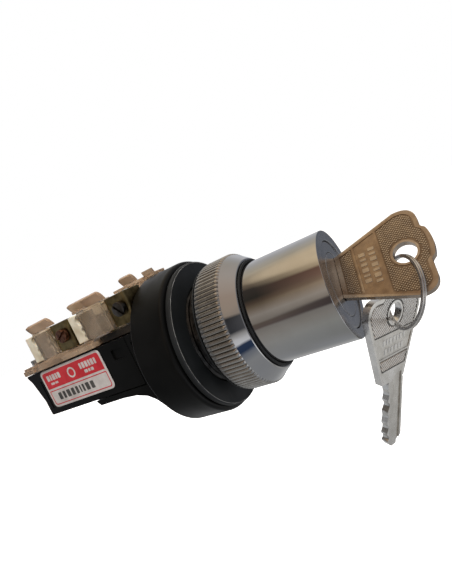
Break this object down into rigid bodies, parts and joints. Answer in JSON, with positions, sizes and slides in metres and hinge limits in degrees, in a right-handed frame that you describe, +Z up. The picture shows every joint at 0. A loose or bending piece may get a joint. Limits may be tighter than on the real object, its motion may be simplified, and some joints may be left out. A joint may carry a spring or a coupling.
{
  "type": "selector key switch",
  "caption": "Panel-mounted key-operated selector switch with chrome lock barrel, knurled ring nut, black contact base, clear terminal shrouds and a pair of keys.",
  "frame": {"origin": "on the switch axis, centre of the front face of the sealing disc, which bears on the back of the panel", "axes": "-Y is the front, where the key goes in; +Z is up, the side of the wire terminals; +X is the side away from the label"},
  "size_m": [0.0458, 0.1277, 0.0763],
  "materials": {
    "chrome": "bright chrome plate",
    "zinc": "smooth dark plated zinc",
    "steel": "zinc-plated steel",
    "dark_steel": "dark passivated steel",
    "brass": "dull brass",
    "black_plastic": "moulded, satin",
    "rubber": "smooth",
    "ivory_plastic": "moulded, ivory",
    "clear_plastic": "clear, amber with age",
    "label_paper": null,
    "key_bronze": "worn nickel over brass, tan",
    "key_nickel": "nickel-plated, satin",
    "ring_steel": "polished wire"
  },
  "bodies": {
    "housing": {"lock_barrel": "chrome", "barrel_seal": "rubber", "nut_washer": "rubber", "sealing_disc": "rubber", "housing": "black_plastic", "grub_screw": "dark_steel", "lock_cylinder": "zinc", "index_leaf": "steel", "contact_base": "black_plastic", "front_cover": "clear_plastic", "rear_cover": "clear_plastic", "cover_screw_left": "steel", "cover_screw_right": "steel", "label": "label_paper", "return_spring_front": "steel", "clamp_front_near": "brass", "clamp_screw_front_near": "dark_steel", "terminal_front_near": "brass", "shroud_front_near": "clear_plastic", "clamp_front_far": "brass", "clamp_screw_front_far": "dark_steel", "terminal_front_far": "brass", "shroud_front_far": "clear_plastic", "return_spring_rear": "steel", "clamp_rear_near": "brass", "clamp_screw_rear_near": "dark_steel", "terminal_rear_near": "brass", "shroud_rear_near": "clear_plastic", "clamp_rear_far": "brass", "clamp_screw_rear_far": "dark_steel", "terminal_rear_far": "brass", "shroud_rear_far": "clear_plastic"},
    "plug": {"key_plug": "zinc", "wafer_1": "brass", "wafer_2": "brass", "wafer_3": "brass", "wafer_4": "brass", "wafer_5": "brass", "plug_clip": "steel", "index_wheel": "steel", "camshaft": "black_plastic"},
    "key": {"key": "key_bronze"},
    "key_ring": {"key_ring": "ring_steel"},
    "spare_key": {"spare_key": "key_nickel"},
    "ring_nut": {"ring_nut": "chrome"},
    "plunger_front": {"plunger_front": "ivory_plastic", "bridge_front": "brass", "contact_spring_front": "steel"},
    "plunger_rear": {"plunger_rear": "ivory_plastic", "bridge_rear": "brass", "contact_spring_rear": "steel"}
  },
  "joints": [
    {"name": "lock_turn", "type": "hinge", "parent": "housing", "child": "plug", "pos_m": [0, 0, 0], "axis": [0, -1, 0], "range_deg": [0, 90]},
    {"name": "key_pull", "type": "slide", "parent": "plug", "child": "key", "axis": [0, -1, 0], "range_m": [0, 0.028]},
    {"name": "ring_swing", "type": "hinge", "parent": "key", "child": "key_ring", "pos_m": [0.00064, -0.05421, 0.00081], "axis": [0.7848, 0, -0.6198], "range_deg": [-45, 0]},
    {"name": "spare_swing", "type": "hinge", "parent": "key_ring", "child": "spare_key", "pos_m": [0.00378, -0.04517, -0.01216], "axis": [0.4847, 0.7971, 0.3602], "range_deg": [-8, 5]},
    {"name": "nut_turn", "type": "hinge", "parent": "housing", "child": "ring_nut", "pos_m": [0, 0, 0], "axis": [0, -1, 0], "continuous": true},
    {"name": "plunger_front_lift", "type": "slide", "parent": "housing", "child": "plunger_front", "axis": [0, 0, 1], "range_m": [0, 0.002], "deforming": ["return_spring_front"]},
    {"name": "plunger_rear_lift", "type": "slide", "parent": "housing", "child": "plunger_rear", "axis": [0, 0, 1], "range_m": [0, 0.002], "deforming": ["return_spring_rear"]}
  ],
  "couplings": [
    {"joint": "plunger_front_lift", "follows": "lock_turn", "m_per_rad": 0.0012732},
    {"joint": "plunger_rear_lift", "follows": "lock_turn", "m_per_rad": 0.0012732}
  ]
}
